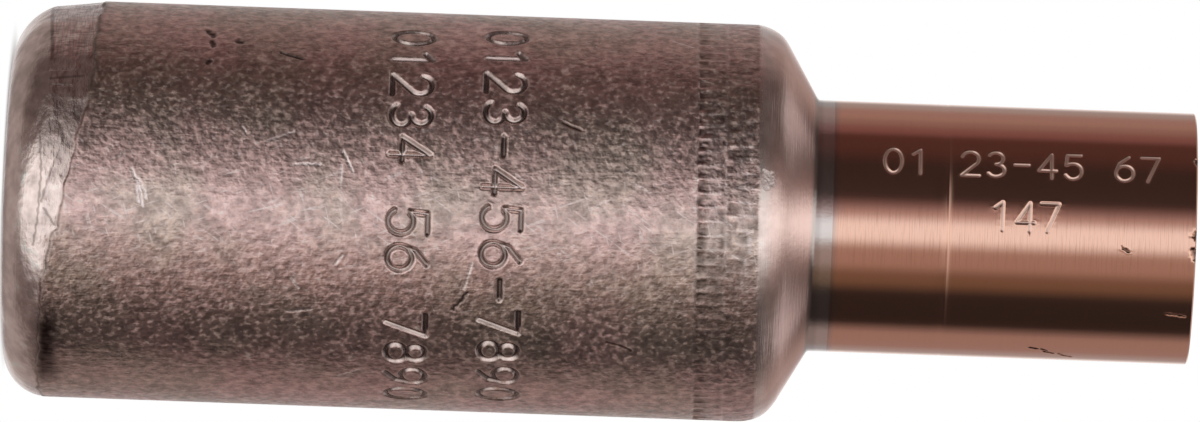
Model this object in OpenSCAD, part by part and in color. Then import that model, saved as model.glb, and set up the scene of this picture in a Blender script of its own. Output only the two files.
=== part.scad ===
// Bimetal compression splice: an aluminium barrel friction welded to a copper barrel.
// It stands on the aluminium mouth, with the axis along +Z and the mouth face at the origin.

/* [Aluminium barrel] */
// Outer diameter of the aluminium barrel
al_od = 32; // [28:0.5:40]
// Length from the mouth face to the corner where the cone starts
al_len = 61.1; // [58:0.1:80]
// Diameter of the aluminium conductor bore
al_bore_d = 18; // [10:0.5:22]
// Depth of the aluminium conductor bore, without its drill point
al_bore_depth = 52; // [30:0.5:54]
// Lead-in bevel at the aluminium mouth
al_lead = 1; // [0.2:0.1:1.5]
// Radius of the round on the outer edge of the mouth
mouth_round = 3.5; // [0.5:0.1:4]

/* [Dressed mouth] */
// Angle of the shallow cone dressed onto the mouth end
dress_deg = 5; // [2:0.5:10]
// Mean length of the dressed cone from the mouth face
dress_len = 5; // [4:0.1:8]
// How much longer the dressed cone is on the -X side than at its middle
dress_skew = 2; // [0:0.1:3]

/* [Shoulder] */
// Angle of the shoulder cone from the axis
cone_deg = 60; // [40:1:75]
// Radius of the round between the barrel and the cone
shoulder_round = 3.4; // [0.5:0.1:4]
// Length of the aluminium neck ring between the cone and the weld
neck_len = 1.5; // [0.5:0.1:4]

/* [Grip band] */
// Distance from the shoulder corner back to the far edge of the grip band
grip_back = 6.1; // [5.5:0.1:12]
// Length of each of the two rows of grip marks
grip_row_len = 2.2; // [1:0.1:2.4]
// Plain land between the two rows
grip_gap = 0.2; // [0.1:0.1:0.5]
// Number of marks round each row
grip_count = 86; // [40:1:100]
// Width of one mark round the barrel
grip_mark_w = 0.7; // [0.3:0.05:0.8]
// Depth of the marks
grip_depth = 0.1; // [0.05:0.01:0.2]

/* [Copper barrel] */
// Outer diameter of the copper barrel and of the neck ring
cu_od = 20.2; // [18:0.1:24]
// Length of the copper barrel from the weld to its mouth
cu_len = 29; // [27:0.5:40]
// Diameter of the copper conductor bore
cu_bore_d = 13.5; // [8:0.5:15]
// Depth of the copper conductor bore, without its drill point
cu_bore_depth = 22; // [12:0.5:22]
// Lead-in bevel at the copper mouth
cu_lead = 0.6; // [0.2:0.1:1]
// Bevel on the outer edge of the copper mouth
cu_edge = 0.25; // [0.1:0.05:0.6]

/* [Scribed ring] */
// Distance from the weld to the near edge of the scribed ring
ring_from_weld = 8.45; // [4:0.05:14]
// Width of the scribed ring
ring_w = 0.8; // [0.3:0.1:2]
// Depth of the scribed ring
ring_depth = 0.12; // [0.05:0.01:0.3]

/* [Hidden] */
$fn = 128;
drill_point_deg = 118; // point angle of the drill that makes the blind bores
over = 1; // how far a cutter runs past the metal it cuts

al_r = al_od / 2;
cu_r = cu_od / 2;
cone_len = (al_r - cu_r) / tan(cone_deg);
weld_z = al_len + cone_len + neck_len;
total_len = weld_z + cu_len;

// The shoulder round touches the barrel and the cone this far from their corner
shoulder_reach = shoulder_round * tan(cone_deg / 2);
shoulder_centre = [al_r - shoulder_round, al_len - shoulder_reach];
cone_touch = [al_r - shoulder_reach * sin(cone_deg), al_len + shoulder_reach * cos(cone_deg)];

// Half outline of the aluminium blank, with true arcs at the mouth and at the shoulder
module aluminium_outline() {
    mouth_centre = [al_r - mouth_round, mouth_round];
    polygon([
        [0, 0],
        [mouth_centre[0], 0],
        mouth_centre,
        [al_r, mouth_round],
        [al_r, shoulder_centre[1]],
        shoulder_centre,
        cone_touch,
        [cu_r, al_len + cone_len],
        [cu_r, weld_z],
        [0, weld_z]
    ]);
    translate(mouth_centre) circle(mouth_round);
    translate(shoulder_centre) circle(shoulder_round);
}

// Cutter for the shallow cone on the mouth, set off centre so that it runs longer on the -X side
module mouth_dressing() {
    slope = tan(dress_deg);
    reach = dress_len + dress_skew + over;
    translate([dress_skew * slope, 0, 0]) rotate_extrude() polygon([
        [al_r - slope * (dress_len + over), -over],
        [al_r + slope * (reach - dress_len), reach],
        [al_od, reach],
        [al_od, -over]
    ]);
}

// One row of shallow marks round the barrel, starting at height z
module grip_row(z, turn) {
    translate([0, 0, z]) linear_extrude(grip_row_len)
        for (i = [0 : grip_count - 1])
            rotate((i + turn) * 360 / grip_count)
                translate([al_r, 0]) square([2 * grip_depth, grip_mark_w], center = true);
}

// Blind conductor bore with a bevelled mouth at z = 0, drilled upwards
module conductor_bore(d, depth, lead) {
    r = d / 2;
    rotate_extrude() polygon([
        [0, -over],
        [r + lead + over, -over],
        [r, lead],
        [r, depth],
        [0, depth + r / tan(drill_point_deg / 2)]
    ]);
}

module aluminium_barrel() {
    grip_z = al_len - grip_back;
    color("#a8928c") difference() {
        rotate_extrude() aluminium_outline();
        mouth_dressing();
        conductor_bore(al_bore_d, al_bore_depth, al_lead);
        grip_row(grip_z, 0);
        grip_row(grip_z + grip_row_len + grip_gap, 0.5);
    }
}

// Half outline of the copper barrel, with the bevelled end and the scribed ring
module copper_outline() {
    difference() {
        polygon([
            [0, weld_z],
            [cu_r, weld_z],
            [cu_r, total_len - cu_edge],
            [cu_r - cu_edge, total_len],
            [0, total_len]
        ]);
        translate([cu_r - ring_depth, weld_z + ring_from_weld]) square([2 * ring_depth, ring_w]);
    }
}

module copper_barrel() {
    color("#b87860") difference() {
        rotate_extrude() copper_outline();
        translate([0, 0, total_len]) mirror([0, 0, 1]) conductor_bore(cu_bore_d, cu_bore_depth, cu_lead);
    }
}

aluminium_barrel();
copper_barrel();
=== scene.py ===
import math
from functools import partial
from types import SimpleNamespace

import bmesh
import bpy
import numpy as np
from mathutils import Matrix, Vector


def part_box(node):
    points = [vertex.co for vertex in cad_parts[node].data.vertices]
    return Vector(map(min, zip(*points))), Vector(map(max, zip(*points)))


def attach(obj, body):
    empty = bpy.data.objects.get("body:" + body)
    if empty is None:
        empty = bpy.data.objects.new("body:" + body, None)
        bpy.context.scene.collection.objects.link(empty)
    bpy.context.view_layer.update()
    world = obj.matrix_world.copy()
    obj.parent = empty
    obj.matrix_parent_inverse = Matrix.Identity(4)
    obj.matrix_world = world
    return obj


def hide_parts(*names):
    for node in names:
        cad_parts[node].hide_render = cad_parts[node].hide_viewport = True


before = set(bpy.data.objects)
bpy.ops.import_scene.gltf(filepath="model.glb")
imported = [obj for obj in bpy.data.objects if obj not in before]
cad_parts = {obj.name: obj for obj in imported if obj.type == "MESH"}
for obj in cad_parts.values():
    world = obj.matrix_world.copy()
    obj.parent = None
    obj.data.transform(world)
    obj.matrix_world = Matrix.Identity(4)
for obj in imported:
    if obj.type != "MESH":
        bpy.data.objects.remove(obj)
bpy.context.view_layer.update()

# Sizes are in millimetres and angles in degrees. Angle 0 faces the camera, and + turns towards +X.
mm = 0.001
alLow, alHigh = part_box("aluminium_barrel")
cuLow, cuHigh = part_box("copper_barrel")
alRadius = (alHigh.x - alLow.x) / 2 / mm
cuRadius = (cuHigh.x - cuLow.x) / 2 / mm
weldHeight = alHigh.z / mm
topHeight = cuHigh.z / mm
rimSlack = 0.01  # points that lie further in from a mouth's rim than this belong to the bore
sharpAngle = 30  # edges that turn by more than this are shaded sharp

scene = bpy.context.scene
scene.view_settings.view_transform = "Standard"


def linear(hexColour):
    parts = [int(hexColour[i:i + 2], 16) / 255 for i in (1, 3, 5)]
    return [c / 12.92 if c <= 0.04045 else ((c + 0.055) / 1.055) ** 2.4 for c in parts] + [1.0]


def addNode(tree, kind, inputs=None, **settings):
    # An input is a value, a socket, or a node whose first output is taken
    node = tree.nodes.new("ShaderNode" + kind)
    for name, value in settings.items():
        setattr(node, name, value)
    for name, value in (inputs or {}).items():
        source = value.outputs[0] if isinstance(value, bpy.types.Node) else value
        if isinstance(source, bpy.types.NodeSocket):
            tree.links.new(source, node.inputs[name])
        else:
            node.inputs[name].default_value = source
    return node


rangeSockets = ("From Min", "From Max", "To Min", "To Max")


def startNodes(owner):
    # Gives the function that adds nodes to this material or world
    owner.use_nodes = True
    owner.node_tree.nodes.clear()
    return partial(addNode, owner.node_tree)


def addObject(name, data):
    thing = bpy.data.objects.new(name, data)
    scene.collection.objects.link(thing)
    return thing


# Soft steps and waves, for the shapes of worn and hand-cut edges
def smooth(low, high, x):
    t = np.clip((x - low) / (high - low), 0, 1)
    return t * t * (3 - 2 * t)


def fall(low, high, x):
    return 1 - smooth(low, high, x)


def window(start, full, fade, end, x):
    return smooth(start, full, x) * fall(fade, end, x)


def bell(x, width):
    return np.exp(-(x / width) ** 2)


def waves(terms, x):
    return sum(size * np.sin(count * x + phase) for size, count, phase in terms)


def shake(size, lays, u, v):
    return sum(size * np.sin(a * u + b * v) for a, b in lays)


# Camera: a long lens level with the splice and turned on its side, so that the axis runs across the picture
lens = {"distance": 950.0, "sensor": 36.0, "photoWidth": 1200, "pixelsPerMm": 12.43, "roll": 2.06,
        "aimHeight": 47.47, "aimAside": -0.549}


def setCamera():
    roll = math.radians(lens["roll"])
    right = Vector((-math.sin(roll), 0, math.cos(roll)))
    up = Vector((-math.cos(roll), 0, -math.sin(roll)))
    data = bpy.data.cameras.new("camera")
    data.sensor_fit = "HORIZONTAL"
    data.sensor_width = lens["sensor"]
    data.lens = data.sensor_width * lens["distance"] * lens["pixelsPerMm"] / lens["photoWidth"]
    camera = addObject("camera", data)
    turn = Matrix((right, up, right.cross(up))).transposed().to_4x4()
    place = Vector((lens["aimAside"], -lens["distance"], lens["aimHeight"])) * mm
    camera.matrix_world = Matrix.Translation(place) @ turn
    scene.camera = camera
    print("camera set, lens", round(data.lens, 1), "mm")


setCamera()

# Studio: a white page all round. The metal mirrors rings of panels set by angle: softbox, flags, cards and
# walls. One ring is level with the splice, and the others lie above and below it.
studio = {
    "page": "#FFFFFF",
    "level": [
        (-180, -146, "#9D9A9B"),  # grey wall, far end
        (-136, -122, "#978481"),  # grey wall
        (-116, -113, "#887672"),
        (-104, -100, "#775757"),
        (-93, -78, "#462B27"),  # black flag
        (-60, -28, "#281A16"),
        (-24, -23, "#604C4D"),
        (-14, -13, "#A89698"),  # warm edge of the softbox
        (-4, 9, "#F3F9FF"),  # softbox
        (19, 33, "#9C867F"),  # card
        (43, 50, "#6C5746"),  # the card's shaded edge
        (62, 97, "#1F1512"),  # black flag
        (112, 138, "#978683"),  # grey wall
        (150, 180, "#A39FA1"),  # its far end
    ],
    "raised": [
        (-180, -136, "#A0948F"),  # back wall
        (-101, -34, "#453937"),  # open dark side of the room
        (-7, 14, "#FFFFFF"),  # softbox
        (44, 101, "#403533"),
        (138, 180, "#A0948F"),
    ],
    "raisedRise": (0.18, 0.42),  # sine of the elevation where one ring gives way to the next
    "lowered": [
        (-180, -128, "#9D9390"),  # back wall
        (-108, -58, "#665957"),  # open dark side of the room
        (-26, 22, "#FFFFFF"),  # wide foot of the softbox
        (66, 104, "#665957"),
        (128, 180, "#9D9390"),
    ],
    "loweredRise": (-0.09, -0.27),
    "high": [
        (-180, -98, "#B2ADAE"),  # pale ceiling at the back
        (-70, -60, "#4A3F3B"),  # dark side
        (-36, -35, "#6F5752"),
        (-9, 12, "#FFFFFF"),  # upper end of the softbox
        (39, 42, "#6C5650"),
        (55, 66, "#4F453F"),
        (105, 180, "#BDB9BB"),
    ],
    "highRise": (0.62, 0.68),
    "rear": "#FFFFFF",  # softbox behind the splice, which only the views from the back show
    "rearTurn": (156, 172),
    "rearRise": (-0.46, -0.32),
}


def setStudio():
    world = bpy.data.worlds.new("studio")
    scene.world = world
    add = startNodes(world)
    way = add("TexCoord").outputs["Generated"]
    axes = add("SeparateXYZ", {"Vector": way})
    rise = axes.outputs["Z"]
    nearer = add("Math", {0: axes.outputs["Y"], 1: -1.0}, operation="MULTIPLY")
    turn = add("Math", {0: axes.outputs["X"], 1: nearer}, operation="ARCTAN2")
    share = add("MapRange", {"Value": turn, "From Min": -math.pi, "From Max": math.pi})
    rings = {}
    for name in ("level", "raised", "lowered", "high"):
        rings[name] = add("ValToRGB", {"Fac": share})
        stops = rings[name].color_ramp.elements
        places = [(edge, tone) for start, end, tone in studio[name] for edge in (start, end)]
        while len(stops) < len(places):
            stops.new(1.0)
        for stop, (edge, tone) in zip(stops, places):
            stop.position = (edge + 180) / 360
            stop.color = linear(tone)
    colour = rings["level"]
    for name in ("raised", "lowered", "high"):
        low, high = studio[name + "Rise"]
        amount = add("MapRange", {"Value": rise, "From Min": low, "From Max": high})
        colour = add("MixRGB", {"Fac": amount, "Color1": colour, "Color2": rings[name]})
    aside = add("Math", {0: turn}, operation="ABSOLUTE")
    low, high = [math.radians(edge) for edge in studio["rearTurn"]]
    behind = add("MapRange", {"Value": aside, "From Min": low, "From Max": high})
    low, high = studio["rearRise"]
    above = add("MapRange", {"Value": rise, "From Min": low, "From Max": high})
    amount = add("Math", {0: behind, 1: above}, operation="MULTIPLY")
    colour = add("MixRGB", {"Fac": amount, "Color1": colour, "Color2": linear(studio["rear"])})
    page = add("Background", {"Color": linear(studio["page"])})
    mirrored = add("Background", {"Color": colour})
    glossy = add("LightPath").outputs["Is Glossy Ray"]
    both = add("MixShader", {0: glossy, 1: page, 2: mirrored})
    add("OutputWorld", {"Surface": both})
    print("studio set,", sum(len(studio[name]) for name in rings), "panels")


setStudio()

# Floor: a pale round table that fades into the white page, so that only the contact shadow shows
floor = {"radius": 90.0, "segments": 96, "drop": 0.05, "fadeStart": 9.0, "fadeEnd": 14.5, "colour": "#F6F4F1"}


def makeFloor():
    mesh = bpy.data.meshes.new("floor")
    bm = bmesh.new()
    bmesh.ops.create_circle(bm, cap_ends=True, radius=floor["radius"] * mm, segments=floor["segments"])
    bm.to_mesh(mesh)
    bm.free()
    table = addObject("floor", mesh)
    table.location.z = -floor["drop"] * mm
    material = bpy.data.materials.new("paleFloor")
    add = startNodes(material)
    spot = add("TexCoord").outputs["Object"]
    away = add("VectorMath", {0: spot}, operation="LENGTH").outputs["Value"]
    edges = {"From Min": floor["fadeStart"] * mm, "From Max": floor["fadeEnd"] * mm}
    fade = add("MapRange", {"Value": away, **edges}, interpolation_type="SMOOTHSTEP")
    rays = add("LightPath").outputs
    seen = rays["Is Camera Ray"]
    for other in ("Is Glossy Ray", "Is Transmission Ray"):
        seen = add("Math", {0: seen, 1: rays[other]}, operation="MAXIMUM")
    amount = add("Math", {0: fade, 1: seen}, operation="MULTIPLY")
    paper = add("BsdfDiffuse", {"Color": linear(floor["colour"])})
    page = add("Emission", {"Color": linear(studio["page"])})
    both = add("MixShader", {0: amount, 1: paper, 2: page})
    add("OutputMaterial", {"Surface": both})
    mesh.materials.append(material)
    table.visible_glossy = False  # the metal mirrors the panels, not the table
    print("floor set")


makeFloor()


# Stamped numerals, drawn as strokes in a box 0.62 wide and 1 tall
def arc(cx, cy, rx, ry, start, end):
    steps = max(6, round(abs(end - start) / 15))
    turns = [math.radians(start + (end - start) * i / steps) for i in range(steps + 1)]
    return [(cx + rx * math.cos(a), cy + ry * math.sin(a)) for a in turns]


numerals = {
    "0": [arc(0.31, 0.5, 0.31, 0.5, 0, 360)],
    "1": [[(0.1, 0.8), (0.36, 1), (0.36, 0)]],
    "2": [arc(0.31, 0.7, 0.3, 0.3, 165, -38) + [(0, 0), (0.62, 0)]],
    "3": [arc(0.3, 0.75, 0.26, 0.25, 150, -90) + arc(0.3, 0.25, 0.31, 0.25, 90, -150)],
    "4": [[(0.46, 0), (0.46, 1), (0, 0.3), (0.62, 0.3)]],
    "5": [[(0.58, 1), (0.1, 1), (0.06, 0.56)] + arc(0.3, 0.32, 0.31, 0.32, 130, -150)],
    "6": [arc(0.31, 0.31, 0.31, 0.31, 0, 360), [(0.01, 0.38), (0.12, 0.72), (0.46, 1)]],
    "7": [[(0, 1), (0.62, 1), (0.22, 0)]],
    "8": [arc(0.31, 0.76, 0.25, 0.24, 0, 360), arc(0.31, 0.26, 0.31, 0.26, 0, 360)],
    "9": [arc(0.31, 0.69, 0.31, 0.31, 0, 360), [(0.61, 0.62), (0.5, 0.28), (0.16, 0)]],
    "-": [[(0.06, 0.5), (0.56, 0.5)]],
}


def stampPaths(row, radius, base=0.0):
    # A row is laid out on the unrolled barrel: across is round the barrel, up is along the axis
    across = radius * math.radians(row["angle"])
    slope = math.tan(math.radians(row["lean"]))
    paths = []
    for i, sign in enumerate(row["text"]):
        for stroke in numerals.get(sign, []):
            points = np.array(stroke) * row["tall"]
            points[:, 0] += i * row["pitch"]
            if row["alongAxis"]:
                points = np.stack([-points[:, 1], points[:, 0]], axis=1)
            points[:, 1] += points[:, 0] * slope
            paths.append(points + (across, base + row["height"]))
    return paths


def linePaths(lines, radius, base=0.0):
    return [np.array([(radius * math.radians(a), base + z) for a, z in line]) for line in lines]


def distanceTo(paths, u, v):
    # Distance to the nearest stroke, and the share of that stroke's run that goes round the barrel
    best = np.full(len(u), np.inf)
    lay = np.zeros(len(u))
    for points in paths:
        for (au, av), (bu, bv) in zip(points[:-1], points[1:]):
            du, dv = bu - au, bv - av
            span = du * du + dv * dv
            t = np.clip(((u - au) * du + (v - av) * dv) / span, 0, 1) if span else np.zeros(len(u))
            here = np.hypot(u - au - t * du, v - av - t * dv)
            lay[here < best] = abs(du) / math.sqrt(span) if span else 0
            best = np.minimum(best, here)
    return best, lay


def groove(distance, half, depth, lip):
    # Blunt V and a low burr pushed up beside it
    bottom = -depth * np.clip(1 - (distance / half) ** 1.5, 0, 1)
    return bottom + lip * bell(distance - 1.3 * half, 0.3 * half)


def turned(rings, columns):
    # A closed body of revolution from (radius, height) rings; the first and last ring lie on the axis
    bm = bmesh.new()
    loops = []
    for radius, height in rings:
        if radius == 0:
            loops.append([bm.verts.new((0, 0, height))] * columns)
            continue
        turns = [2 * math.pi * i / columns for i in range(columns)]
        loops.append([bm.verts.new((radius * math.sin(a), -radius * math.cos(a), height)) for a in turns])
    for below, above in zip(loops[:-1], loops[1:]):
        for i in range(columns):
            j = (i + 1) % columns
            corners = [below[i], below[j], above[j], above[i]]
            bm.faces.new(list(dict.fromkeys(corners)))
    bmesh.ops.recalc_face_normals(bm, faces=bm.faces[:])
    for edge in bm.edges:
        if edge.calc_face_angle(0) > math.radians(sharpAngle):
            edge.smooth = False
    return bm


def turnOf(points):
    return np.arctan2(points[:, 0], -points[:, 1])


def isOuter(vert, rim):
    return math.hypot(vert.co.x, vert.co.y) > rim


def refine(bm, rim, wanted, levels, cell):
    # Halves the outer cells near the marks, level by level
    for level in range(levels):
        faces = [f for f in bm.faces if all(isOuter(v, rim) for v in f.verts)]
        centres = np.array([f.calc_center_median()[:] for f in faces])
        near = wanted(centres, cell / 2 ** level)
        edges = {e for f, keep in zip(faces, near) if keep for e in f.edges}
        bmesh.ops.subdivide_edges(bm, edges=list(edges), cuts=1, use_grid_fill=True)


def placeSkin(bm, co, out, angle, radius):
    # Sets the outer points to their radius and leaves the bore as it is
    co[out, 0] = (radius * np.sin(angle))[out]
    co[out, 1] = (-radius * np.cos(angle))[out]
    for vert, place in zip(bm.verts, co):
        vert.co = place


def finishPiece(bm, name, node, material, fields):
    crowded = [f for f in bm.faces if len(f.verts) > 4]
    bmesh.ops.triangulate(bm, faces=crowded, quad_method="BEAUTY", ngon_method="BEAUTY")
    mesh = bpy.data.meshes.new(name)
    bm.to_mesh(mesh)
    bm.free()
    for field, values in fields.items():
        mesh.attributes.new(field, "FLOAT", "POINT").data.foreach_set("value", values.astype(np.float32))
    mesh.transform(Matrix.Scale(mm, 4))
    mesh.polygons.foreach_set("use_smooth", [True] * len(mesh.polygons))
    mesh.materials.append(material)
    piece = addObject(name, mesh)
    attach(piece, "root")
    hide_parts(node)
    triangles = sum(p.loop_total - 2 for p in mesh.polygons)
    print(name, "made,", triangles, "triangles")


# Aluminium barrel
barrel = {
    "columns": 144,
    "cell": 0.7,
    "levels": 3,  # how often the cells near a mark are halved
    "inset": 0.03,  # the skin lies this far within the turned size, so that burrs stay inside it
    "burrRoom": 0.002,
    "boreRadius": 9.0,
    "boreDepth": 52.0,
    "boreRings": (48.0, 2.0, -6.0),  # first height, end and step
    "drillPoint": 5.4,
    "leadIn": 1.0,
    "mouthRound": 3.5,
    "roundStep": 6,
    "corner": 61.2,  # height where the barrel would meet the cone
    "cornerLean": -0.12,
    "coneAngle": 60.0,
    "shoulderRound": 3.4,
    "shoulderLean": 0.7,  # the round is softer on the +X side
    "shoulderStep": 0.15,
    "footRound": 0.12,
    "neckLength": 1.5,
    "plainNeck": 1.0,  # no mark comes this near to the weld
    "bandRoom": 0.5,  # rings keep this far from the grip band and from the weld
    "weldRoom": 0.1,
    "shake": 0.03,  # makes the edges of the marks ragged
    "shakeLays": [(9, 4), (-5, 11)],
}
# Mouth dressed with a file, up to a ragged line that runs high on the -X side and low on the +X side
dressing = {
    "middle": 5.1,
    "swing": 2.1,
    "turn": 1.9,
    "bias": 0.12,
    "ragged": [(0.12, 9, 1), (0.08, 23, 0), (0.06, 51, 2)],  # size, count round the barrel, phase
    "notch": 0.3,
    "notchAngle": 8.4,
    "notchWidth": 1.1,
    "line": 0.11,
    "lineDepth": 0.04,
    "step": 0.07,
    "stepWidth": 0.12,
    "slope": 0.12,
    "flatness": 0.4,
    "flats": [-180, -157, -131, -108, -88, -64, -46, -31, -15, 5, 21, 41, 63, 86, 112, 137, 158, 180],
    "spared": (48, 70, 118, 142),  # angles between which the file hardly cut
    "sparedShare": 0.8,
    "crease": 3.2,
    "creaseSlope": 0.14,
    "creaseAngle": -45,
    "patches": [(-89, -46), (96, 131), (-165, -136)],
    "patchStart": (3.0, 3.3),
}
# Tooth marks of the welding jaws: two rows of scoops, deepest at their heels and shallow between the jaws
gripRows = [
    {"start": 55.15, "length": 2.3, "depth": 0.13, "shift": 0.0, "uneven": 0.3, "fade": 0.6,
     "soil": 0.42, "heelShade": 0.3, "toeShade": 0.6, "belly": 0.45},
    {"start": 57.5, "length": 2.45, "depth": 0.045, "shift": 0.45, "uneven": 0.35, "fade": 0.65,
     "soil": 0.5, "heelShade": -0.28, "toeShade": 0.0, "belly": 0.3},
]
grip = {
    "count": 88,
    "gap": 0.14,
    "jaws": 3,
    "jawTurn": -14,
    "lean": 0.3,  # the rows lie askew by this much
    "leanHeights": (49, 54, 60.2, 62.5),
    "wall": 0.05,  # shares of a scoop's length, from its heel
    "heel": (0.22, 0.4),
    "belly": (0.34, 0.46, 0.72, 0.88),
    "toe": (0.76, 0.84),
    "toeEnd": (0.94, 0.99),
    "heelDepth": 0.55,
    "crest": (0.82, 1),
    # painted highlights on the crests and bright lines of the band, partly burnish
    "shine": 0.45,
    "mostSoilAndShade": 0.72,
    "edgeLine": 0.12,  # painted highlight: a bright line below the first row
    "edgeWidth": 0.08,
    "between": [(0.09, 31, 0), (0.07, 53, 1)],  # painted highlight: a ragged bright line between the rows
    "betweenDrop": 0.02,
    "betweenWidth": 0.1,
    "dull": 0.3,
    "dullAngles": (2, 14, 34, 50),
    "dullStart": 0.2,
    "dullEnd": (-2.6, 0.3),  # from the end of the band
    "cuts": 6,
    "rings": 13,
    "crowding": 1.5,  # rings are closest at the heels
    "below": 0.25,
    "above": 0.15,
}
bandStart = gripRows[0]["start"] - grip["below"]
bandEnd = gripRows[1]["start"] + gripRows[1]["length"] + grip["above"]
barrelStamps = [
    {"text": "01234 56 7890", "angle": -63.4, "height": 30.6, "tall": 3.15, "pitch": 2.93,
     "alongAxis": False, "lean": 0.4},
    {"text": "0123-456-7890", "angle": -65.3, "height": 38.05, "tall": 3.1, "pitch": 2.93,
     "alongAxis": False, "lean": 0.3},
]
stampCut = {"half": 0.28, "depth": 0.26, "lip": 0.02}
# Light scratches, each a run of (angle, height)
barrelScratches = [
    [(-9.4, 10.3), (-6, 10.75), (-2.7, 11.1), (1.2, 11.3)],
    [(-6.4, 10.9), (-3.4, 11.35), (-0.6, 11.55)],
    [(-4.2, 10.75), (0.6, 11.0)],
    [(-12.3, 23.1), (-12.5, 25.2)],
    [(-16.6, 27), (-10.6, 27.8)],
    [(-12.2, 26.9), (-7.6, 26.9)],
    [(-18.7, 20.9), (-21.8, 23)],
    [(-22.7, 18.9), (-21.2, 19.2)],
    [(20.6, 23.2), (23.6, 23.8)],
    [(16, 26.7), (13.2, 27.2)],
    [(56.5, 27.1), (53.1, 28.8)],
    [(31.4, 23), (30.2, 24.9)],
    [(22.1, 36.9), (14.2, 37.5)],
    [(-63.6, 53.1), (-60.3, 54.7)],
    [(-41.5, 3.4), (-41, 5.4)],
    [(-35.5, 3.5), (-35, 5.2)],
    [(3.6, 59.45), (19, 58.85)],
    [(118, 20), (124, 23)],
    [(-130, 41), (-126, 44)],
    [(160, 33), (163, 29.5)],
    [(-150, 18), (-147, 16)],
]
scratchCut = {"half": 0.13, "depth": 0.03, "lip": 0.01}
# Rubs that the jaws left on the shoulder
shoulderRubs = [
    [(-15.2, 60.5), (-14.6, 60.7)],
    [(-14.9, 61), (-14.1, 60.85)],
    [(-14, 60.4), (-13.4, 60.6)],
    [(-13.6, 61.1), (-12.8, 60.95)],
    [(-13, 60.7), (-12.1, 60.8)],
    [(-12.4, 60.45), (-11.5, 60.5)],
    [(-11.9, 61.1), (-11.2, 60.9)],
    [(-11.2, 60.65), (-10.4, 60.6)],
    [(104, 60.3), (109, 60.6)],
    [(-137, 60.2), (-134, 60.7)],
]
rubCut = {"half": 0.2, "depth": 0.014, "lip": 0.003}
# Dark gouges and pits
barrelDents = [
    [(-50, 21.6), (-49, 22.2), (-47.5, 23.4)],
    [(-27.9, 44.3), (-26.9, 44.8), (-25.6, 45.7)],
    [(38.2, 48.4), (39.2, 49.4), (40.9, 50.3)],
    [(28.8, 36.1), (26, 36.7), (23.3, 37.2)],
    [(140, 47), (142, 48.5)],
    [(-112, 28), (-110, 29)],
]
dentCut = {"half": 0.17, "depth": 0.08, "lip": 0.015}
barrelPits = [
    [(-59.2, 15.7), (-56.8, 16.2)],
    [(-53.9, 16.15), (-52.2, 16.25)],
    [(-45.6, 16.1), (-44.4, 15.85)],
    [(-54.4, 18.2), (-54, 18.45)],
]
pitCut = {"half": 0.32, "depth": 0.09, "lip": 0.01}
# Dark edges of the patches that the file left on the mouth, and painted shade along the creases between its
# strokes
patchOutline = [
    [(-88, 3.0), (-71, 3.1), (-46, 3.5)],
    [(-38, 3.5), (-38.5, 6.1)],
    [(96, 3.1), (131, 3.4)],
    [(-165, 3.2), (-136, 3.1)],
]
fileCreases = [
    [(-14, 4.5), (-6, 3.75), (1, 3.25)],
    [(3, 3.5), (7.5, 4.3)],
    [(-20, 2.9), (-8, 3.15), (6, 3.0), (14, 2.7)],
    [(-50.5, 5.8), (-50.8, 6.2)],
]
creaseReach = 0.18
# Dirt and painted shade: the share of the metal that each hides, and for the first six the distances between
# which it fades. Dents and pits hold dirt; the creases, the rim, the neck's foot, the stamped strokes and the
# mouth's -X side get painted shade.
dirtAndShade = {
    "dent": (0.8, 0.4, 1.3),  # in half widths of the mark, like the pits
    "pit": (0.85, 0.3, 1.1),
    "patchEdge": (0.6, 0.05, 0.26),
    # painted shade along the creases
    "crease": (0.5, 0.04, 0.14),
    # painted shade near the mouth's rim
    "rim": (0.35, 0.15, 0.6),
    # painted shade in the corner at the cone's foot
    "neckFoot": (0.2, 0.35, 0.75),
    "line": 0.55,
    "lineUpper": 0.1,  # more of it on the -X side, where the line is wider too
    "upper": (-40, -18),
    "stamp": 0.1,
    "stampAcross": 0.65,  # more painted shade in strokes that run round the barrel
    "stampFade": (0.5, 1.1),
    # painted shade over the dressed mouth on the -X side
    "mouthShade": 0.14,
    "mouthShadeLower": 0.16,
    "mouthShadeLowerAngles": (-50, -44),
    "mouthShadeEdge": -22,  # angle where the painted shade ends at its foot, and how that leans with the height
    "mouthShadeFoot": 2.4,
    "mouthShadeLean": 6.2,
    "mouthShadeFade": 8,
    # a darker band along the dress line on the +X side
    "lineBandHeight": 3.8,
    "lineBandReach": 0.9,
    "lineBandAngles": (29, 41, 58, 72),
}
# How the mouth, the shoulder and the marks were worked, and how strongly that shows
working = {
    "dressedFade": 0.3,
    "filedRim": 0.4,  # file marks are fainter at the rim
    "filedHeights": (1.2, 2.6),
    "patchFade": 2,
    "shoulderStart": (-0.1, 0.05),  # from the end of the grip band
    "neckOver": (0.25, 0.7),  # from the radius of the copper
    "coneSteps": [(0.63, -0.95, 0.35), (0.16, 0.45, 1.05)],  # share, and heights from the corner
    "coneSlope": 0.105,
    "coneSlopeStart": 1.05,
    "coneSlopeLength": 2,
    "stampShare": 0.9,
    "stampEdge": (0.7, 1),  # edges of the marks, in half widths
    "scratchEdge": (0.4, 1.2),
    "rubEdge": (0.3, 1.3),
    "gripFade": 0.25,
    "gripSwing": 0.35,  # the jaws bruised some sides less
    "latheMouth": 0.16,
    "latheShoulder": 0.3,
}


def cornerHeight(angle):
    return barrel["corner"] + barrel["cornerLean"] * np.sin(angle)


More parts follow.
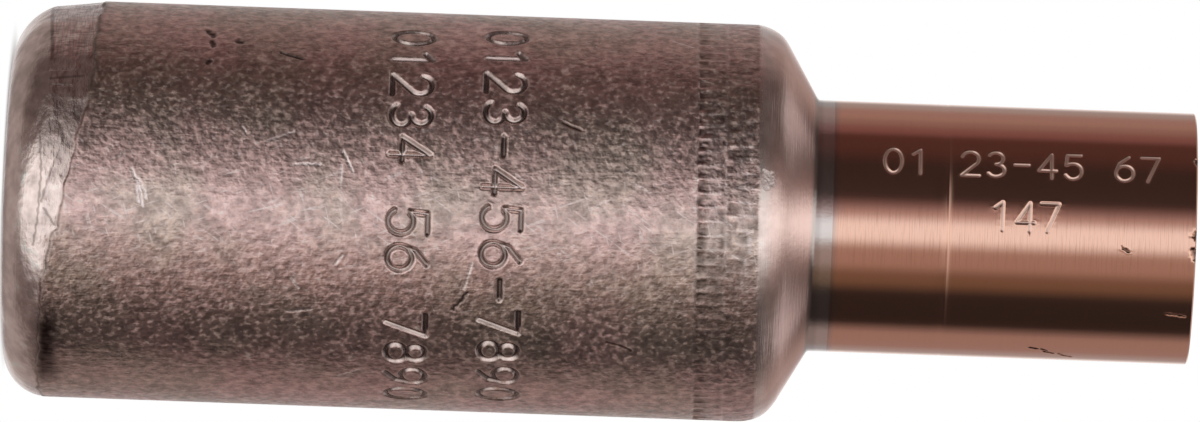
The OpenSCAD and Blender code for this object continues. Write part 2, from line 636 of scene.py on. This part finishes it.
def barrelOutline(angle, height):
    mouth = barrel["mouthRound"]
    cone = math.radians(barrel["coneAngle"])
    radius = np.full(len(height), alRadius - barrel["inset"])
    dip = np.clip(mouth - height, 0, mouth)
    radius += np.sqrt(mouth ** 2 - dip ** 2) - mouth
    corner = cornerHeight(angle)
    bend = barrel["shoulderRound"] + barrel["shoulderLean"] * np.sin(angle)
    reach = bend * math.tan(cone / 2)
    start = corner - reach
    end = corner + reach * math.cos(cone)
    along = np.clip(height - start, 0, end - start)
    radius += np.sqrt(bend ** 2 - along ** 2) - bend
    radius -= np.clip(height - end, 0, None) * math.tan(cone)
    over = radius - cuRadius
    return cuRadius + (over + np.sqrt(over ** 2 + barrel["footRound"] ** 2)) / 2


def dressLine(angle):
    notch = dressing["notch"] * bell(np.degrees(angle) - dressing["notchAngle"], dressing["notchWidth"])
    side = np.tanh(dressing["turn"] * np.sin(angle) + dressing["bias"])
    return dressing["middle"] - dressing["swing"] * side + waves(dressing["ragged"], angle) + notch


def fileFlats(angle):
    # Each stroke of the file takes a shallow flat off the round
    edges = np.radians(dressing["flats"])
    right = np.clip(np.searchsorted(edges, angle), 1, len(edges) - 1)
    centre = (edges[right] + edges[right - 1]) / 2
    half = (edges[right] - edges[right - 1]) / 2
    return dressing["flatness"] * alRadius * (half ** 2 - (angle - centre) ** 2) / 2


def jawWave(angle):
    return np.cos(grip["jaws"] * (angle - math.radians(grip["jawTurn"])))


def gripRow(row, angle, height):
    # Depth of one row of scoops, the soil and painted shade in them, and the painted highlights of their
    # bellies and crests
    turns = angle / (2 * math.pi) * grip["count"] + row["shift"]
    tooth = np.floor(turns)
    across = np.clip(np.abs(turns - tooth - 0.5) / (0.5 - grip["gap"] / 2), 0, 1)
    along = np.clip((height - row["start"]) / row["length"], 0, 1)
    inside = (along > 0) & (along < 1)
    sides = 1 - across ** 4
    within = smooth(0, grip["wall"], along) * (1 - along) ** 0.5 * sides
    # Each tooth struck a little differently, and fewer bit between the jaws
    strike = 1 + row["uneven"] * np.sin(2.4 * tooth + 9 * row["shift"]) * np.cos(0.7 * tooth)
    strike *= 1 - row["fade"] * (0.5 - 0.5 * jawWave(angle))
    chatter = 1 + 0.6 * row["uneven"] * np.sin(9 * along + 1.7 * tooth) * np.sin(11 * turns + tooth)
    place = along + 0.08 * np.sin(2.9 * tooth) + 0.06 * np.sin(19 * turns)
    heel = fall(*grip["heel"], place)
    depth = row["depth"] * strike * chatter * within * (1 - grip["heelDepth"] * (1 - heel))
    toe = smooth(*grip["toe"], place) * fall(*grip["toeEnd"], along) * sides
    # painted shade in the scoops, deepest at their heels and toes, over some soil
    soil = np.maximum(strike * within * (row["soil"] + row["heelShade"] * heel), row["toeShade"] * strike * toe)
    # painted highlights on the bellies of the scoops, and on their crests, where the metal is partly
    # burnished
    belly = window(*grip["belly"], place) * within
    belly *= 0.65 + 0.35 * np.sin(21 * along + 2 * tooth) * np.sin(23 * turns)
    crest = grip["shine"] * strike * inside * smooth(*grip["crest"], across) * (1 - heel)
    return depth, soil, np.maximum(row["belly"] * strike * belly, crest)


def gripMarks(angle, height):
    depths, soils, shines = zip(*[gripRow(row, angle, height) for row in gripRows])
    first, second = [row["start"] for row in gripRows]
    between = second - grip["betweenDrop"] + waves(grip["between"], angle)
    # painted highlights: a broken bright line at the first row's edge and another between the rows
    broken = grip["shine"] * (0.6 + 0.4 * np.sin(37 * angle) * np.sin(59 * angle + 2))
    betweenLine = broken * bell(height - between, grip["betweenWidth"])
    edgeLine = broken * bell(height - first + grip["edgeLine"], grip["edgeWidth"])
    soil = np.clip(np.maximum(*soils), 0, grip["mostSoilAndShade"])
    return -sum(depths), soil, np.maximum.reduce([*shines, betweenLine, edgeLine, np.zeros(len(height))])


def barrelRings():
    bore = barrel["boreRadius"]
    depth = barrel["boreDepth"]
    lead = barrel["leadIn"]
    mouth = barrel["mouthRound"]
    step = barrel["shoulderStep"]
    first = gripRows[0]["start"]
    inner = [(0, depth + barrel["drillPoint"]), (bore, depth)]
    inner += [(bore, z) for z in np.arange(*barrel["boreRings"])] + [(bore, lead), (bore + lead, 0)]
    heights = [mouth * (1 - math.cos(math.radians(a))) for a in range(0, 90, barrel["roundStep"])]
    last = weldHeight - barrel["weldRoom"]
    heights += list(np.arange(mouth, first - barrel["bandRoom"], barrel["cell"]))
    heights += [bandStart, first - grip["edgeLine"]]
    spread = np.linspace(0, 1, grip["rings"]) ** grip["crowding"]
    for row in gripRows:
        heights += list(row["start"] + row["length"] * spread)
    heights += [bandEnd] + list(np.arange(bandEnd + step, last, step)) + [weldHeight]
    outer = [(alRadius, z) for z in heights]
    outer[0] = (alRadius - mouth, 0)
    return inner + outer + [(0, weldHeight)]


def barrelPaths():
    kinds = {"scratches": barrelScratches, "dents": barrelDents, "pits": barrelPits, "rubs": shoulderRubs,
             "outline": patchOutline, "creases": fileCreases}
    paths = SimpleNamespace(**{name: linePaths(lines, alRadius) for name, lines in kinds.items()})
    paths.stamps = [path for row in barrelStamps for path in stampPaths(row, alRadius)]
    return paths


def refineBarrel(bm, paths, rim):
    reaches = [
        (paths.stamps, 1.2 * stampCut["half"]),
        (paths.scratches + paths.dents, 1.4 * dentCut["half"]),
        (paths.pits, 1.2 * pitCut["half"]),
        (paths.rubs, 1.2 * rubCut["half"]),
        (paths.outline + paths.creases, creaseReach),
    ]

    def wanted(centres, cell):
        angle = turnOf(centres)
        u, v = alRadius * angle, centres[:, 2]
        near = np.abs(v - dressLine(angle)) < 2 * dressing["line"] + 0.4 * cell
        for lines, reach in reaches:
            near |= distanceTo(lines, u, v)[0] < reach + 0.5 * cell
        return near & ((v < bandStart) | (v > bandEnd))

    refine(bm, rim, wanted, barrel["levels"], barrel["cell"])
    inBand = [e for e in bm.edges
              if all(bandStart < v.co.z < bandEnd and isOuter(v, rim) for v in e.verts)
              and abs(e.verts[0].co.z - e.verts[1].co.z) < 1e-6]
    bmesh.ops.subdivide_edges(bm, edges=inBand, cuts=grip["cuts"])


def barrelSkin(co, paths):
    # Where each point lies on the barrel, and its distance from each kind of mark
    angle = turnOf(co)
    height = co[:, 2].copy()
    u = alRadius * angle
    ragged = shake(barrel["shake"], barrel["shakeLays"], u, height)
    skin = SimpleNamespace(angle=angle, turn=np.degrees(angle), height=height, line=dressLine(angle))
    skin.below = np.clip(skin.line - height, 0, None)
    skin.toStamp, skin.lay = distanceTo(paths.stamps, u, height)
    skin.toScratch = distanceTo(paths.scratches, u + ragged, height)[0]
    skin.toDent = distanceTo(paths.dents, u + ragged, height + 1.5 * ragged)[0]
    skin.toPit = distanceTo(paths.pits, u + 1.3 * ragged, height - ragged)[0]
    skin.toRub = distanceTo(paths.rubs, u, height + 2 * ragged)[0]
    skin.toOutline = distanceTo(paths.outline, u, height)[0]
    skin.toCrease = distanceTo(paths.creases, u, height + ragged)[0]
    skin.grip, skin.soil, skin.shine = gripMarks(angle, height)
    return skin


def barrelRelief(skin):
    # How far the marks and the file move the skin in or out
    relief = groove(skin.toStamp, **stampCut) + groove(skin.toScratch, **scratchCut)
    relief += groove(skin.toDent, **dentCut) + groove(skin.toPit, **pitCut) + groove(skin.toRub, **rubCut)
    relief += skin.grip
    spared = dressing["sparedShare"] * window(*dressing["spared"], skin.turn)
    step = (dressing["step"] + fileFlats(skin.angle)) * smooth(0, dressing["stepWidth"], skin.below)
    relief -= (step + dressing["slope"] * skin.below) * (1 - spared)
    relief -= dressing["lineDepth"] * bell(skin.height - skin.line, dressing["line"])
    facing = np.clip(np.cos(skin.angle - math.radians(dressing["creaseAngle"])), 0, 1)
    relief -= dressing["creaseSlope"] * facing * np.clip(dressing["crease"] - skin.height, 0, None)
    return relief * (skin.height < weldHeight - barrel["plainNeck"])


def workedFields(skin):
    # How each stretch was worked: dressed, filed or hatched at the mouth, turned on the shoulder and the neck
    dressed = smooth(0, working["dressedFade"], skin.below)
    rim = working["filedRim"]
    filed = dressed * (rim + (1 - rim) * smooth(*working["filedHeights"], skin.height))
    fade = working["patchFade"]
    hatched = sum(window(low, low + fade, high - fade, high, skin.turn) for low, high in dressing["patches"])
    hatched *= dressed * smooth(*dressing["patchStart"], skin.height)
    shoulder = smooth(*working["shoulderStart"], skin.height - bandEnd)
    neck = shoulder * fall(*working["neckOver"], barrelOutline(skin.angle, skin.height) - cuRadius)
    above = skin.height - cornerHeight(skin.angle)
    cone = sum(share * smooth(low, high, above) for share, low, high in working["coneSteps"])
    rise = np.clip(above - working["coneSlopeStart"], 0, working["coneSlopeLength"])
    cone += working["coneSlope"] * rise
    pressed = fall(*working["stampEdge"], skin.toStamp / stampCut["half"])
    worked = np.maximum.reduce([dressed, shoulder, working["stampShare"] * pressed])
    lathe = (working["latheMouth"] * dressed + working["latheShoulder"] * shoulder) * (1 - neck)
    return SimpleNamespace(dressed=dressed, filed=filed, hatched=hatched, shoulder=shoulder, neck=neck,
                           cone=cone, worked=worked, lathe=lathe)


def stainAndShade(name, distance):
    share, full, gone = dirtAndShade[name]
    return share * fall(full, gone, distance)


def grimeAndShadeField(skin, work):
    # Dirt in the dents and pits; painted shade in the creases, the stamped strokes, the grip's scoops, near
    # the mouth's rim, over the mouth's -X side and at the neck's foot; a darker stretch of the grip band
    # between angles 2 and 50
    turn, height = skin.turn, skin.height
    upper = fall(*dirtAndShade["upper"], turn)
    line = bell(height - skin.line, dressing["line"] * (1 + upper))
    line *= dirtAndShade["line"] + dirtAndShade["lineUpper"] * upper
    # a darker band along the dress line on the +X side
    lineBand = bell(height - dirtAndShade["lineBandHeight"], dirtAndShade["lineBandReach"]) * window(*dirtAndShade["lineBandAngles"], turn)
    # painted shade in the stamped strokes, heavier in strokes that run round the barrel
    stamp = fall(*dirtAndShade["stampFade"], skin.toStamp / stampCut["half"])
    stamp *= dirtAndShade["stamp"] + dirtAndShade["stampAcross"] * skin.lay
    # painted shade over the dressed mouth on the -X side, which narrows its highlight there
    mouthShadeTurn = turn - dirtAndShade["mouthShadeEdge"] - dirtAndShade["mouthShadeLean"] * (height - dirtAndShade["mouthShadeFoot"])
    mouthShade = work.dressed * fall(-dirtAndShade["mouthShadeFade"], dirtAndShade["mouthShadeFade"], mouthShadeTurn)
    mouthShade *= dirtAndShade["mouthShade"] + dirtAndShade["mouthShadeLower"] * smooth(*dirtAndShade["mouthShadeLowerAngles"], turn)
    dent = stainAndShade("dent", skin.toDent / dentCut["half"])
    pit = stainAndShade("pit", skin.toPit / pitCut["half"])
    patchEdge = stainAndShade("patchEdge", skin.toOutline)
    # painted shade along the file's creases
    crease = stainAndShade("crease", skin.toCrease)
    # painted shade on the dressed metal near the mouth's rim
    rim = work.dressed * stainAndShade("rim", height)
    grimeAndShade = np.maximum.reduce([line, lineBand, stamp, mouthShade, dent, pit, patchEdge, crease, rim, skin.soil])
    dull = window(*grip["dullAngles"], turn) * smooth(0, grip["dullStart"], height - bandStart)
    dull *= fall(*grip["dullEnd"], height - bandEnd)
    grimeAndShade += grip["dull"] * dull * (1 - grimeAndShade)
    # painted shade on the neck, in the corner at the cone's foot
    neckFoot = work.neck * stainAndShade("neckFoot", height - weldHeight + barrel["neckLength"])
    return np.maximum(grimeAndShade, neckFoot)


def barrelFields(skin, out):
    work = workedFields(skin)
    rubbed = fall(*working["rubEdge"], skin.toRub / rubCut["half"])
    scratched = fall(*working["scratchEdge"], skin.toScratch / scratchCut["half"])
    gripped = smooth(0, working["gripFade"], skin.height - bandStart) * (1 - work.shoulder)
    gripped *= 1 - working["gripSwing"] * (1 - jawWave(skin.angle))
    # bare metal in the scratches and rubs, and painted highlights on the grip band
    bareAndGlint = np.maximum.reduce([scratched, skin.shine, rubbed])
    fields = {"worked": work.worked, "lathe": work.lathe, "cone": work.cone, "neck": work.neck, "bareAndGlint": bareAndGlint,
              "grimeAndShade": grimeAndShadeField(skin, work), "rubbed": rubbed, "filed": work.filed, "hatched": work.hatched,
              "gripped": np.maximum(gripped, rubbed)}
    # The bore is plain worked metal
    return {name: np.where(out, values, 1 if name == "worked" else 0) for name, values in fields.items()}


def makeBarrel(material):
    rim = alRadius - barrel["mouthRound"] - rimSlack
    paths = barrelPaths()
    bm = turned(barrelRings(), barrel["columns"])
    refineBarrel(bm, paths, rim)
    co = np.array([v.co[:] for v in bm.verts])
    out = np.hypot(co[:, 0], co[:, 1]) > rim
    skin = barrelSkin(co, paths)
    radius = barrelOutline(skin.angle, skin.height) + barrelRelief(skin)
    askew = grip["lean"] * np.sin(skin.angle) * window(*grip["leanHeights"], skin.height)
    co[out, 2] += askew[out]
    placeSkin(bm, co, out, skin.angle, np.minimum(radius, alRadius - barrel["burrRoom"]))
    fields = barrelFields(skin, out)
    finishPiece(bm, "aluminium_barrel_dressed", "aluminium_barrel", material, fields)


# Copper barrel. The heights of its marks are counted from the weld, and those of its nicks from the top.
sleeve = {
    "columns": 128,
    "cell": 0.5,
    "levels": 3,
    "boreRadius": 6.75,
    "boreDepth": 22.0,
    "boreStep": 4.0,
    "boreRoom": 1.0,
    "drillPoint": 4.06,
    "leadIn": 0.6,
    "edge": 0.1,
    "ringFromWeld": 8.45,
    "ringWidth": 0.8,
    "ringDepth": 0.004,
    "ringWall": 0.04,
    "ringRoom": 0.2,
    "cutDepth": 0.02,  # sharp cut at the upper edge of the ring
    "cutStart": 0.2,
    "cutBottom": 0.11,
    "shake": 0.04,
    "shakeLays": [(13, 5), (-7, 17)],
    "dirtAndShadeShare": 0.75,
    "scratchEdge": (0.3, 1),  # edges of the marks, in half widths
    "nickEdge": (0.2, 0.9),
    "stampEdge": (0.6, 1.2),
    "weldShare": 0.9,
    "weldFade": (0.05, 0.45),
    "weldRagged": [(0.12, 7, 0), (0.1, 17, 1)],
}
sleeveStamps = [
    {"text": "01 23-45 67", "angle": -26, "height": 4.0, "tall": 2.25, "pitch": 2.05,
     "alongAxis": True, "lean": 0.0},
    {"text": "147", "angle": -1, "height": 12.7, "tall": 2.25, "pitch": 1.95,
     "alongAxis": True, "lean": 0.0},
]
sleeveCut = {"half": 0.15, "depth": 0.08, "lip": 0.01}
sleeveScratches = [
    [(5.1, 23.1), (6.8, 23.7)],
    [(64.5, 16.2), (66, 16.9)],
    [(66, 17.2), (68, 17.7)],
    [(69, 17.4), (71, 18.2)],
    [(71, 18.6), (73, 18.9)],
    [(73.5, 18.9), (75.5, 19.6)],
    [(36.7, 26.9), (37.9, 28.4)],
    [(-120, 12), (-112, 14)],
    [(150, 20), (153, 23)],
]
sleeveScratchCut = {"half": 0.14, "depth": 0.07, "lip": 0.015}
sleeveNicks = [
    [(5.5, -0.2), (8.5, 0)],
    [(-1.5, -0.1), (-1, 0)],
    [(-38, -0.05), (-37, 0)],
    [(130, -0.1), (133, 0)],
]
sleeveNickCut = {"half": 0.35, "depth": 0.16, "lip": 0.0}
hairLineWearAndLight = {"angles": [2, 172, -120, 95], "spread": 14.0, "least": 0.15}  # angles where the hair lines are strongest; at 2 and 172, where the front and rear softboxes are mirrored, they are painted shade lines in the highlight


def sleeveRings():
    bore = sleeve["boreRadius"]
    lead = sleeve["leadIn"]
    edge = sleeve["edge"]
    cell = sleeve["cell"]
    boreEnd = topHeight - sleeve["boreDepth"]
    boreStep = sleeve["boreStep"]
    room = sleeve["ringRoom"]
    ringStart = weldHeight + sleeve["ringFromWeld"]
    ringEnd = ringStart + sleeve["ringWidth"]
    deep = cuRadius - sleeve["ringDepth"]
    cut = deep - sleeve["cutDepth"]
    rings = [(0, weldHeight), (cuRadius, weldHeight)]
    rings += [(cuRadius, z) for z in np.arange(weldHeight + cell, ringStart - room, cell)]
    rings += [(cuRadius, ringStart), (deep, ringStart + sleeve["ringWall"])]
    rings += [(deep, ringEnd - sleeve["cutStart"]), (cut, ringEnd - sleeve["cutBottom"]), (cuRadius, ringEnd)]
    rings += [(cuRadius, z) for z in np.arange(ringEnd + cell, topHeight - edge - room, cell)]
    rings += [(cuRadius, topHeight - edge), (cuRadius - edge, topHeight)]
    rings += [(bore + lead, topHeight), (bore, topHeight - lead)]
    rings += [(bore, z) for z in np.arange(topHeight - boreStep, boreEnd + sleeve["boreRoom"], -boreStep)]
    return rings + [(bore, boreEnd), (0, boreEnd - sleeve["drillPoint"])]


def sleeveFields(angle, height, out, toStamp, toScratch, toNick):
    scratched = fall(*sleeve["scratchEdge"], toScratch / sleeveScratchCut["half"])
    nicked = fall(*sleeve["nickEdge"], toNick / sleeveNickCut["half"])
    soiled = sleeve["dirtAndShadeShare"] * np.maximum(scratched, nicked)
    fromWeld = height - weldHeight + waves(sleeve["weldRagged"], angle)
    weld = sleeve["weldShare"] * fall(*sleeve["weldFade"], fromWeld)
    stamped = fall(*sleeve["stampEdge"], toStamp / sleeveCut["half"])
    # the hair lines are real wear, but they are painted strongest where the softboxes are mirrored
    wornAndLitLines = np.full(len(angle), hairLineWearAndLight["least"])
    for middle in hairLineWearAndLight["angles"]:
        away = (np.degrees(angle) - middle + 180) % 360 - 180
        wornAndLitLines = np.maximum(wornAndLitLines, bell(away, hairLineWearAndLight["spread"]))
    fields = {"dirtAndShade": soiled, "weld": weld, "stamped": stamped}
    return {**{name: np.where(out, values, 0) for name, values in fields.items()}, "wornAndLitLines": wornAndLitLines}


def makeSleeve(material):
    rim = cuRadius - sleeve["edge"] - rimSlack
    stamps = [path for row in sleeveStamps for path in stampPaths(row, cuRadius, weldHeight)]
    scratches = linePaths(sleeveScratches, cuRadius, weldHeight)
    nicks = linePaths(sleeveNicks, cuRadius, topHeight)
    reaches = [
        (stamps, 1.4 * sleeveCut["half"]),
        (nicks, sleeveNickCut["half"]),
        (scratches, 1.6 * sleeveScratchCut["half"]),
    ]

    def wanted(centres, cell):
        u, v = cuRadius * turnOf(centres), centres[:, 2]
        return np.any([distanceTo(lines, u, v)[0] < reach + 0.5 * cell for lines, reach in reaches], axis=0)

    bm = turned(sleeveRings(), sleeve["columns"])
    refine(bm, rim, wanted, sleeve["levels"], sleeve["cell"])
    co = np.array([v.co[:] for v in bm.verts])
    angle = turnOf(co)
    height = co[:, 2]
    radius = np.hypot(co[:, 0], co[:, 1])
    out = radius > rim
    u = cuRadius * angle
    ragged = shake(sleeve["shake"], sleeve["shakeLays"], u, height)
    toStamp = distanceTo(stamps, u, height)[0]
    toScratch = distanceTo(scratches, u + ragged, height + ragged)[0]
    toNick = distanceTo(nicks, u + ragged, height)[0]
    radius += groove(toStamp, **sleeveCut)
    radius += groove(toScratch, **sleeveScratchCut) + groove(toNick, **sleeveNickCut)
    placeSkin(bm, co, out, angle, radius)
    fields = sleeveFields(angle, height, out, toStamp, toScratch, toNick)
    finishPiece(bm, "copper_barrel_turned", "copper_barrel", material, fields)


# Aluminium, drawn and tumbled: a grey-pink skin full of fine dents that break up what it mirrors.
# It is smoother and brighter where it was turned or dressed, and nearly a mirror at the weld.
aluminium = {
    "skin": "#F2D0C9",
    "skinOlive": "#E3CDC1",
    "turned": "#FAE6DF",
    "cone": "#FAD6CB",
    "neck": "#E6D8D0",
    # pale bare metal, also used for the painted highlights on the grip band
    "bareAndGlint": "#FFEFEA",
    # colour of the dirt and of the painted shade
    "grimeAndShade": "#4E3F3A",
    "workedRoughness": 0.26,
    "neckRoughness": 0.17,
    "rubbedRoughness": 0.38,
    # Patterns, each with its size, its scale along X, Y and Z, its detail and its roughness
    "patterns": {
        "grain": (0.6, (1, 1, 0.88), 2.0, 0.55),
        "streak": (0.2, (1, 1, 0.2 / 1.4), 1.0, 0.5),  # drawn out to 1.4 along the barrel
        "patch": (8.0, (1, 1, 1), 2.0, 0.5),
        "blotch": (1.3, (1, 1, 1), 2.0, 0.5),
        "mottle": (0.7, (1, 1, 1), 2.0, 0.5),
        "fileMark": (1.5, (1, 1, 1.5), 4.0, 0.5),
        "toolLine": (0.07, (0.02, 0.02, 1), 1.0, 0.5),
    },
    "fleckSize": 0.4,
    "fleckScale": (1, 1, 0.88),
    "streakShare": 0.16,
    # Tones, each with its pattern, the pattern's values from and to, and the tone from and to
    "tones": {
        "olive": ("patch", 0.42, 0.62, 0.0, 1.0),
        "speck": ("relief", 0.35, 0.68, 0.66, 1.13),
        "cloud": ("blotch", 0.35, 0.65, 0.85, 1.13),
        "pepper": ("fleck", 0.36, 0.64, 0.87, 1.13),
        "mottled": ("mottle", 0.38, 0.62, 0.66, 1.22),
        "filed": ("fileMark", 0.3, 0.7, 0.8, 1.18),
        "roughness": ("fleck", 0.5, 0.7, 0.34, 0.6),  # dull flecks scatter more light than the skin
    },
    "scuffAngles": [35, -20, 75],
    "scuffSize": (0.22, 0.22, 2.2),
    "scuffTone": (0.72, 0.8, 0.0, 0.5),
    "hatchSizes": [(1.6, 1.6, 0.13), (0.18, 0.18, 1.6)],
    "hatchTone": (0.4, 0.64, 1.14, 0.8),
    "grainDepth": 0.1,
    "workedGrain": 0.1,  # share of the grain that is left where the metal was worked
    "toolDepth": 0.045,
    "fileDepth": 0.14,
    "mottleDepth": 0.08,
    "feedTilt": 0.73,
}


def aluminiumPatterns(add, spot):
    patterns = {}
    for name, (size, scale, detail, roughness) in aluminium["patterns"].items():
        drawn = add("Mapping", {"Vector": spot, "Scale": scale})
        patterns[name] = add("TexNoise", {"Vector": drawn, "Scale": 1 / (size * mm),
                                          "Detail": detail, "Roughness": roughness})
    # The fourth dimension sets the flecks apart from the grain
    drawn = add("Mapping", {"Vector": spot, "Scale": aluminium["fleckScale"]})
    size = aluminium["fleckSize"] * mm
    patterns["fleck"] = add("TexNoise", {"Vector": drawn, "Scale": 1 / size, "Detail": 1.0,
                                         "W": 3.0}, noise_dimensions="4D")
    patterns["relief"] = add("MixRGB", {"Fac": aluminium["streakShare"],
                                        "Color1": patterns["grain"], "Color2": patterns["streak"]})
    return patterns


def skinColour(add, spot, tones, fields):
    # The tumbled skin: pink to olive, specked, with fine pale scuffs and mottled by the jaws
    skin = add("MixRGB", {"Fac": tones["olive"], "Color1": linear(aluminium["skin"]),
                          "Color2": linear(aluminium["skinOlive"])})
    shade = add("Math", {0: tones["speck"], 1: tones["cloud"]}, operation="MULTIPLY")
    shade = add("Math", {0: shade, 1: tones["pepper"]}, operation="MULTIPLY")
    colour = add("MixRGB", {"Fac": 1.0, "Color1": skin, "Color2": shade}, blend_type="MULTIPLY")
    scuffScale = [size * mm for size in aluminium["scuffSize"]]
    tone = dict(zip(rangeSockets, aluminium["scuffTone"]))
    bareAndGlint = linear(aluminium["bareAndGlint"])
    for angle in aluminium["scuffAngles"]:
        slant = add("Mapping", {"Vector": spot, "Rotation": (0, math.radians(angle), 0),
                                "Scale": scuffScale}, vector_type="TEXTURE")
        scuff = add("TexNoise", {"Vector": slant, "Scale": 1.0, "Detail": 0.0})
        amount = add("MapRange", {"Value": scuff, **tone})
        colour = add("MixRGB", {"Fac": amount, "Color1": colour, "Color2": bareAndGlint})
    return add("MixRGB", {"Fac": fields["gripped"], "Color1": colour, "Color2": tones["mottled"]},
               blend_type="MULTIPLY")


def workedColour(add, spot, tones, fields):
    # The turned and dressed metal: paler, clouded, darkened in file marks and hatched on the patches
    layers = [(1.0, tones["cloud"]), (fields["filed"], tones["filed"])]
    tone = dict(zip(rangeSockets, aluminium["hatchTone"]))
    for sizes in aluminium["hatchSizes"]:
        scale = [size * mm for size in sizes]
        drawn = add("Mapping", {"Vector": spot, "Scale": scale}, vector_type="TEXTURE")
        stroke = add("TexNoise", {"Vector": drawn, "Scale": 1.0, "Detail": 1.0})
        layers.append((fields["hatched"], add("MapRange", {"Value": stroke, **tone})))
    colour = linear(aluminium["turned"])
    for amount, shade in layers:
        colour = add("MixRGB", {"Fac": amount, "Color1": colour, "Color2": shade}, blend_type="MULTIPLY")
    return colour


def aluminiumRelief(add, patterns, fields):
    # The cone's feed marks are too fine to show, so they lean its shading as a whole towards the barrel
    face = add("NewGeometry").outputs["Normal"]
    kept = add("MapRange", {"Value": fields["cone"], "To Min": 1.0, "To Max": 1 - aluminium["feedTilt"]})
    lean = add("CombineXYZ", {"X": 1.0, "Y": 1.0, "Z": kept})
    leant = add("VectorMath", {0: face, 1: lean}, operation="MULTIPLY")
    normal = add("VectorMath", {0: leant}, operation="NORMALIZE")
    grainy = add("MapRange", {"Value": fields["worked"], "To Min": 1.0, "To Max": aluminium["workedGrain"]})
    layers = [("relief", grainy, "grainDepth"), ("toolLine", fields["lathe"], "toolDepth"),
              ("fileMark", fields["filed"], "fileDepth"), ("mottle", fields["gripped"], "mottleDepth")]
    for name, strength, depth in layers:
        normal = add("Bump", {"Height": patterns[name], "Strength": strength,
                              "Distance": aluminium[depth] * mm, "Normal": normal})
    return normal


def makeAluminium():
    material = bpy.data.materials.new("tumbledAluminium")
    add = startNodes(material)
    spot = add("TexCoord").outputs["Object"]
    names = ("worked", "lathe", "cone", "neck", "bareAndGlint", "rubbed", "grimeAndShade", "filed", "hatched", "gripped")
    fields = {name: add("Attribute", attribute_name=name).outputs["Fac"] for name in names}
    patterns = aluminiumPatterns(add, spot)
    tones = {}
    for name, (pattern, *span) in aluminium["tones"].items():
        tones[name] = add("MapRange", {"Value": patterns[pattern], **dict(zip(rangeSockets, span))})
    skin = skinColour(add, spot, tones, fields)
    worked = workedColour(add, spot, tones, fields)
    colour = add("MixRGB", {"Fac": fields["worked"], "Color1": skin, "Color2": worked})
    for name in ("cone", "neck", "bareAndGlint", "grimeAndShade"):
        tone = linear(aluminium[name])
        colour = add("MixRGB", {"Fac": fields[name], "Color1": colour, "Color2": tone})
    rough = tones["roughness"]
    for name in ("worked", "neck", "rubbed"):
        rough = add("MapRange", {"Value": fields[name], "To Min": rough,
                                 "To Max": aluminium[name + "Roughness"]})
    normal = aluminiumRelief(add, patterns, fields)
    shader = add("BsdfPrincipled", {"Base Color": colour, "Metallic": 1.0, "Roughness": rough,
                                    "Normal": normal})
    add("OutputMaterial", {"Surface": shader})
    print("tumbled aluminium set,", len(material.node_tree.nodes), "nodes")
    return material


# Copper, fine turned: an orange-pink mirror crossed by hair lines that run round it
copper = {
    "bright": "#F9C7AF",
    "line": "#DCAA90",
    "weld": "#CDB7AE",
    "dirtAndShade": "#4A2C22",
    "stamped": "#F2CFC0",
    "roughness": 0.15,
    "stampedRoughness": 0.38,
    "lineSize": 0.1,
    "lineStretch": (0.03, 0.03, 1),
    "lineTone": (0.5, 0.74),
    "lineDepth": 0.001,
}


def makeCopper():
    material = bpy.data.materials.new("turnedCopper")
    add = startNodes(material)
    spot = add("TexCoord").outputs["Object"]
    names = ("wornAndLitLines", "stamped", "weld", "dirtAndShade")
    fields = {name: add("Attribute", attribute_name=name).outputs["Fac"] for name in names}
    drawn = add("Mapping", {"Vector": spot, "Scale": copper["lineStretch"]})
    lines = add("TexNoise", {"Vector": drawn, "Scale": 1 / (copper["lineSize"] * mm), "Detail": 3.0,
                             "Roughness": 0.65})
    low, high = copper["lineTone"]
    # the hair lines darken the copper most where the softboxes are mirrored
    amount = add("MapRange", {"Value": lines, "From Min": low, "From Max": high, "To Max": fields["wornAndLitLines"]})
    colour = add("MixRGB", {"Fac": amount, "Color1": linear(copper["bright"]),
                            "Color2": linear(copper["line"])})
    for name in ("stamped", "weld", "dirtAndShade"):
        tone = linear(copper[name])
        colour = add("MixRGB", {"Fac": fields[name], "Color1": colour, "Color2": tone})
    rough = add("MapRange", {"Value": fields["stamped"], "To Min": copper["roughness"],
                             "To Max": copper["stampedRoughness"]})
    bump = add("Bump", {"Height": lines, "Strength": 1.0, "Distance": copper["lineDepth"] * mm})
    shader = add("BsdfPrincipled", {"Base Color": colour, "Metallic": 1.0, "Roughness": rough,
                                    "Normal": bump})
    add("OutputMaterial", {"Surface": shader})
    print("turned copper set,", len(material.node_tree.nodes), "nodes")
    return material


makeBarrel(makeAluminium())
makeSleeve(makeCopper())
